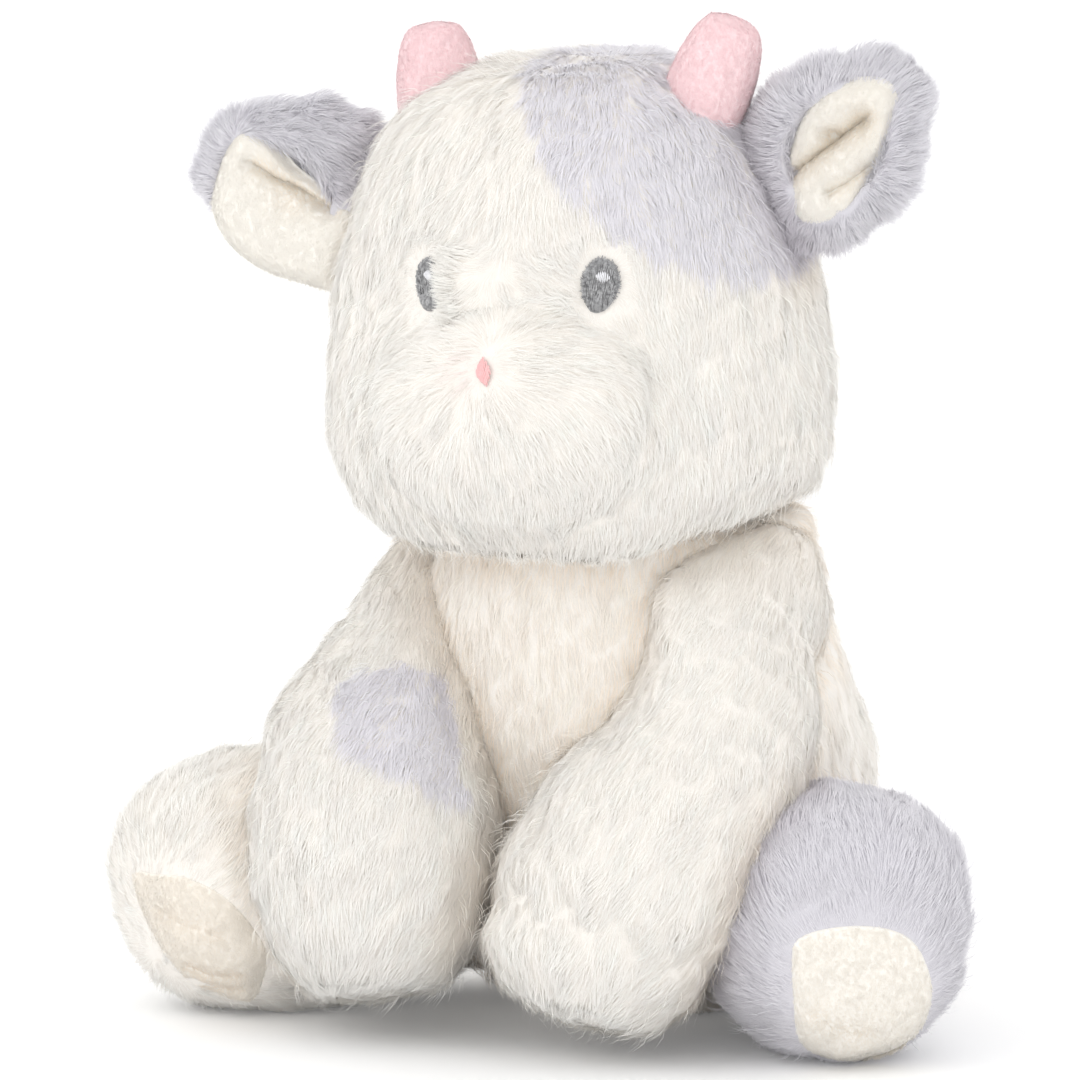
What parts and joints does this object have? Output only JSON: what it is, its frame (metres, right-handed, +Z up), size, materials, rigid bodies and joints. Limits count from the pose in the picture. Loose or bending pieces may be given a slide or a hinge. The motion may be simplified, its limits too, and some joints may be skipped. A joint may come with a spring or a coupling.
{
  "type": "plush rattle",
  "caption": "Seated plush calf with a rattle inside: stuffed head, body and limbs, turning head, flopping ears, arms, legs and tail, and loose balls in a hidden case.",
  "frame": {"origin": "on the floor, in the middle of the flat that the calf sits on", "axes": "+Z up; the calf faces -Y; its left side is +X"},
  "size_m": [0.1932, 0.1573, 0.2215],
  "materials": {
    "cream_plush": "long pile",
    "grey_plush": "long pile",
    "pale_velour": "short pile",
    "pink_velour": "short pile",
    "grey_thread": "satin stitch",
    "white_thread": "satin stitch",
    "pink_thread": "satin stitch",
    "stuffing": "loose fibre",
    "pouch_cloth": "non-woven",
    "case_plastic": "moulded",
    "ball_plastic": "polished"
  },
  "bodies": {
    "torso": {"body_front_panel": "cream_plush", "body_back_panel": "cream_plush", "body_stuffing_lower": "stuffing", "body_stuffing_upper": "stuffing", "neck_stuffing": "stuffing", "rattle_pouch": "pouch_cloth", "rattle_case_lower": "case_plastic", "rattle_case_upper": "case_plastic"},
    "head": {"head_cover": "cream_plush", "head_patch": "grey_plush", "head_stuffing": "stuffing", "nose_stitch": "pink_thread", "eye_left": "grey_thread", "eye_left_glint": "white_thread", "eye_right": "grey_thread", "eye_right_glint": "white_thread", "horn_left_cover": "pink_velour", "horn_left_stuffing": "stuffing", "horn_right_cover": "pink_velour", "horn_right_stuffing": "stuffing"},
    "ear_left": {"ear_left_back": "grey_plush", "ear_left_lining": "pale_velour"},
    "ear_right": {"ear_right_back": "grey_plush", "ear_right_lining": "pale_velour"},
    "arm_left": {"arm_left_cover": "cream_plush", "arm_left_stuffing": "stuffing"},
    "arm_right": {"arm_right_cover": "cream_plush", "arm_right_patch": "grey_plush", "arm_right_stuffing": "stuffing"},
    "leg_left": {"leg_left_cover": "grey_plush", "leg_left_sole": "pale_velour", "leg_left_stuffing": "stuffing"},
    "leg_right": {"leg_right_cover": "cream_plush", "leg_right_sole": "pale_velour", "leg_right_stuffing": "stuffing"},
    "tail": {"tail_cover": "cream_plush", "tail_tuft": "grey_plush"},
    "rattle_ball_1": {"rattle_ball_1": "ball_plastic"},
    "rattle_ball_2": {"rattle_ball_2": "ball_plastic"},
    "rattle_ball_3": {"rattle_ball_3": "ball_plastic"},
    "rattle_ball_4": {"rattle_ball_4": "ball_plastic"},
    "rattle_ball_5": {"rattle_ball_5": "ball_plastic"}
  },
  "joints": [
    {"name": "head_turn", "type": "hinge", "parent": "torso", "child": "head", "pos_m": [0, -0.017, 0.109], "axis": [0, 0, 1], "range_deg": [-15, 15], "stiffness_Nm_per_rad": 0.3},
    {"name": "ear_left_flop", "type": "hinge", "parent": "head", "child": "ear_left", "pos_m": [0.0404, -0.024, 0.1824], "axis": [0.5075, 0, -0.8616], "range_deg": [-15, 15], "stiffness_Nm_per_rad": 0.02},
    {"name": "ear_right_flop", "type": "hinge", "parent": "head", "child": "ear_right", "pos_m": [-0.0514, -0.024, 0.1752], "axis": [0.061, 0, 0.9981], "range_deg": [-15, 15], "stiffness_Nm_per_rad": 0.02},
    {"name": "arm_left_swing", "type": "hinge", "parent": "torso", "child": "arm_left", "pos_m": [0.034, -0.013, 0.089], "axis": [-1, 0, 0], "range_deg": [0, 30], "stiffness_Nm_per_rad": 0.05},
    {"name": "arm_right_swing", "type": "hinge", "parent": "torso", "child": "arm_right", "pos_m": [-0.035, -0.013, 0.089], "axis": [-1, 0, 0], "range_deg": [0, 30], "stiffness_Nm_per_rad": 0.05},
    {"name": "leg_left_spread", "type": "hinge", "parent": "torso", "child": "leg_left", "pos_m": [0.034, 0, 0.027], "axis": [0, 0, 1], "range_deg": [0, 20], "stiffness_Nm_per_rad": 0.1},
    {"name": "leg_right_spread", "type": "hinge", "parent": "torso", "child": "leg_right", "pos_m": [-0.036, 0, 0.027], "axis": [0, 0, -1], "range_deg": [0, 20], "stiffness_Nm_per_rad": 0.1},
    {"name": "tail_swing", "type": "hinge", "parent": "torso", "child": "tail", "pos_m": [0, 0.043, 0.034], "axis": [0, 0, 1], "range_deg": [-20, 20], "stiffness_Nm_per_rad": 0.01},
    {"name": "ball_1_bounce", "type": "slide", "parent": "torso", "child": "rattle_ball_1", "axis": [0, 0, 1], "range_m": [0, 0.014]},
    {"name": "ball_2_bounce", "type": "slide", "parent": "torso", "child": "rattle_ball_2", "axis": [0, 0, 1], "range_m": [0, 0.014]},
    {"name": "ball_3_bounce", "type": "slide", "parent": "torso", "child": "rattle_ball_3", "axis": [0, 0, 1], "range_m": [0, 0.014]},
    {"name": "ball_4_bounce", "type": "slide", "parent": "torso", "child": "rattle_ball_4", "axis": [0, 0, 1], "range_m": [0, 0.014]},
    {"name": "ball_5_bounce", "type": "slide", "parent": "torso", "child": "rattle_ball_5", "axis": [0, 0, 1], "range_m": [0, 0.014]}
  ]
}
